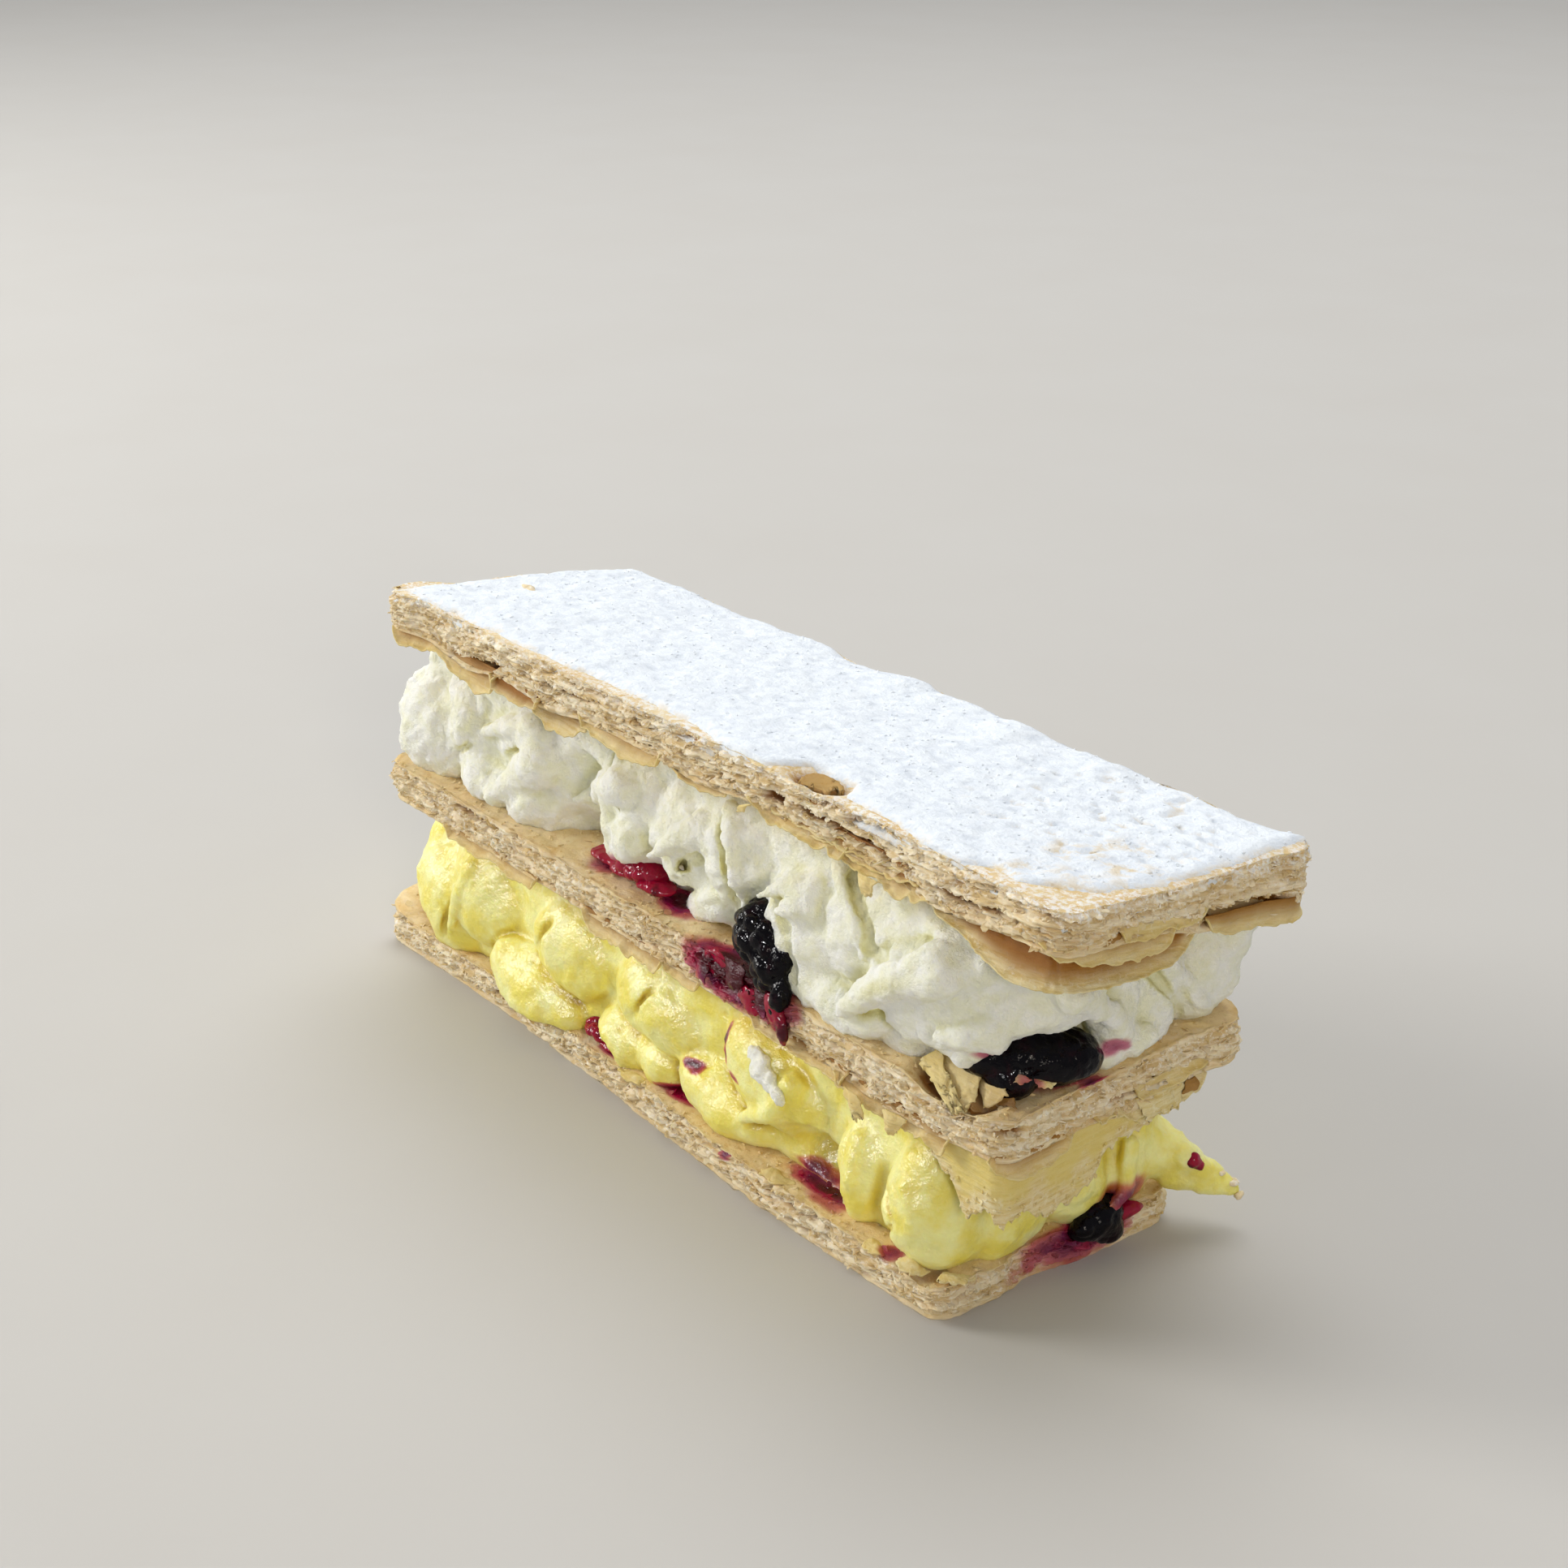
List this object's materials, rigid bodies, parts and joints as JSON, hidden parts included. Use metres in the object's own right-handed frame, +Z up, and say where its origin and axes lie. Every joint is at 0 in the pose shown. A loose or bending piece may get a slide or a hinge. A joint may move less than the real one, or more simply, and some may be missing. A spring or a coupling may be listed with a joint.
{
  "type": "mille feuille slice",
  "caption": "Long slice of puff pastry layered with custard, whipped cream and dark berries under a dusting of sugar, standing flat on its bottom sheet.",
  "frame": {"origin": "middle of the bottom sheet's flat underside", "axes": "+X along the slice towards the end where the top sheet overhangs, -Y towards the open long side with the seedy berry, +Z up"},
  "size_m": [0.1366, 0.0457, 0.0569],
  "materials": {
    "pastry": "dry baked puff pastry, pale gold",
    "custard": "moist yellow custard",
    "cream": "soft whipped cream",
    "berry": "wet, nearly black fruit"
  },
  "bodies": {
    "root": {"pastry_bottom": "pastry", "custard": "custard", "pastry_middle": "pastry", "cream": "cream", "pastry_top": "pastry", "berry_edge": "berry", "berry_corner": "berry", "berry_crushed": "berry", "berry_end": "berry", "berry_pressed": "berry"}
  },
  "joints": []
}
